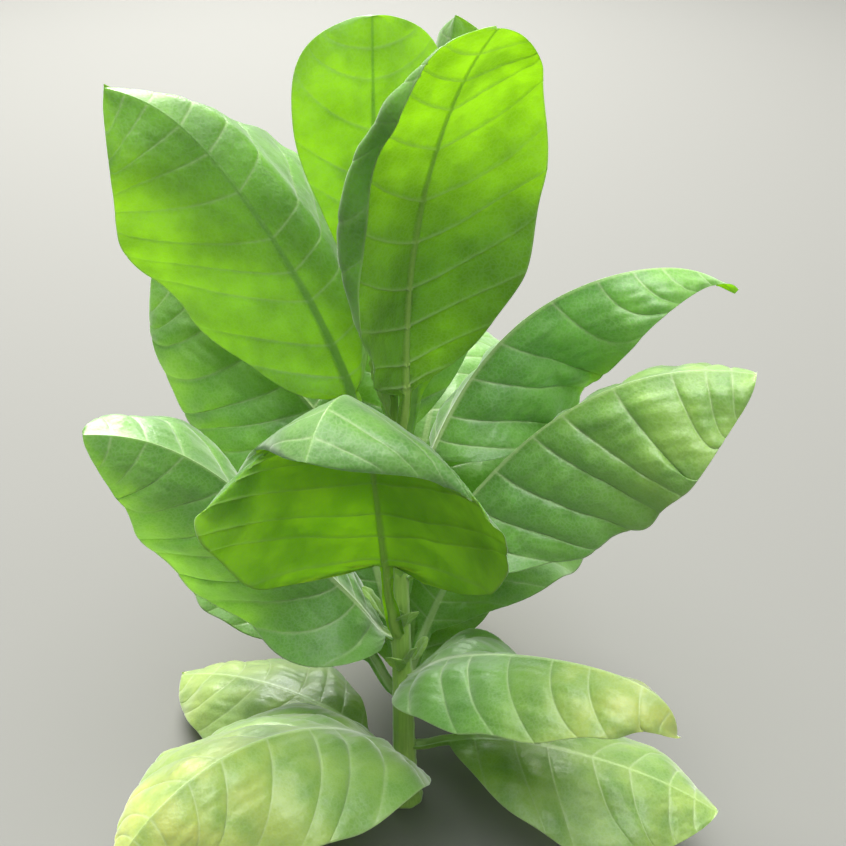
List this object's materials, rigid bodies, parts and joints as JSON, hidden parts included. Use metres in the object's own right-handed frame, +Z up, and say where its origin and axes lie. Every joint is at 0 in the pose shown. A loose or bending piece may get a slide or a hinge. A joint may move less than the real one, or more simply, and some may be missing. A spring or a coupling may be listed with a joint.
{
  "type": "tobacco plant",
  "caption": "Leafy crop plant before flowering: one tapering green stem rising from the ground, with large veined leaves set round it in a spiral and a bud of young leaves on top.",
  "frame": {"origin": "centre of the flat cut under the stem, at ground level", "axes": "+Z up along the stem, +Y away from the picture's viewer, +X to the viewer's right"},
  "size_m": [0.7379, 0.7301, 1.0603],
  "materials": {
    "stem": "pale green, finely ridged and downy",
    "leaf": "soft green, quilted between pale veins, slightly sticky and downy",
    "young_leaf": "light yellow-green, soft and downy"
  },
  "bodies": {
    "root": {"stem": "stem", "leaf_01": "leaf", "leaf_02": "leaf", "leaf_03": "leaf", "leaf_04": "leaf", "leaf_05": "leaf", "leaf_06": "leaf", "leaf_07": "leaf", "leaf_08": "leaf", "leaf_09": "leaf", "leaf_10": "leaf", "leaf_11": "leaf", "leaf_12": "leaf", "leaf_13": "leaf", "leaf_14": "leaf", "leaf_15": "leaf", "leaf_16": "leaf", "leaf_17": "leaf", "leaf_18": "leaf", "leaf_19": "leaf", "bud_leaf_1": "young_leaf", "bud_leaf_2": "young_leaf", "bud_leaf_3": "young_leaf", "bud_leaf_4": "young_leaf"}
  },
  "joints": []
}
